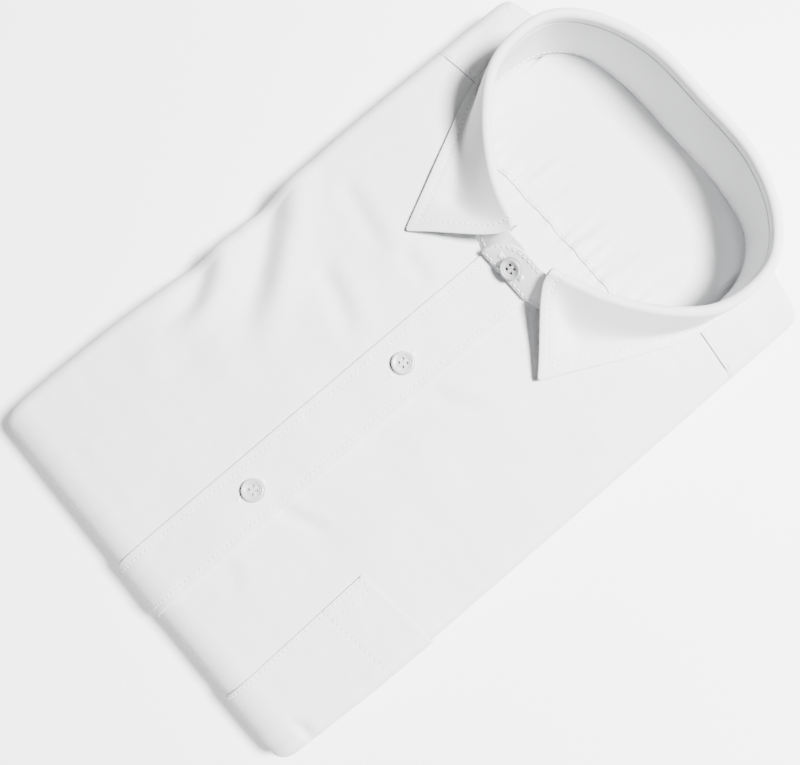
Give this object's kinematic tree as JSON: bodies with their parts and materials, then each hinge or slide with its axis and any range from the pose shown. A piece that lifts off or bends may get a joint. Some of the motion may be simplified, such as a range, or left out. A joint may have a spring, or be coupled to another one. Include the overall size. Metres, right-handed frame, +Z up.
{
  "type": "folded dress shirt",
  "caption": "Long-sleeved dress shirt, buttoned and folded into a flat pack, with a front placket, a chest pocket and a pointed collar standing round its open neck.",
  "frame": {"origin": "on the floor under the middle of the folded shirt's box", "axes": "+Y from the bottom fold towards the collar, +X towards the wearer's left (the pocket side), +Z up from the floor through the front"},
  "size_m": [0.2179, 0.3526, 0.0688],
  "materials": {
    "shirting": "matt plain-weave cotton, lightly pressed",
    "hidden_layers": "matt plain-weave cotton in stacked folds",
    "button": "glossy, slightly pearly off-white"
  },
  "bodies": {
    "root": {"folded_layers": "hidden_layers", "back_panel": "shirting", "yoke": "shirting", "right_front": "shirting", "left_front": "shirting", "placket": "shirting", "chest_pocket": "shirting", "collar_stand": "shirting", "collar_leaf": "shirting", "placket_button_1": "button", "placket_button_2": "button", "stand_button": "button"}
  },
  "joints": []
}
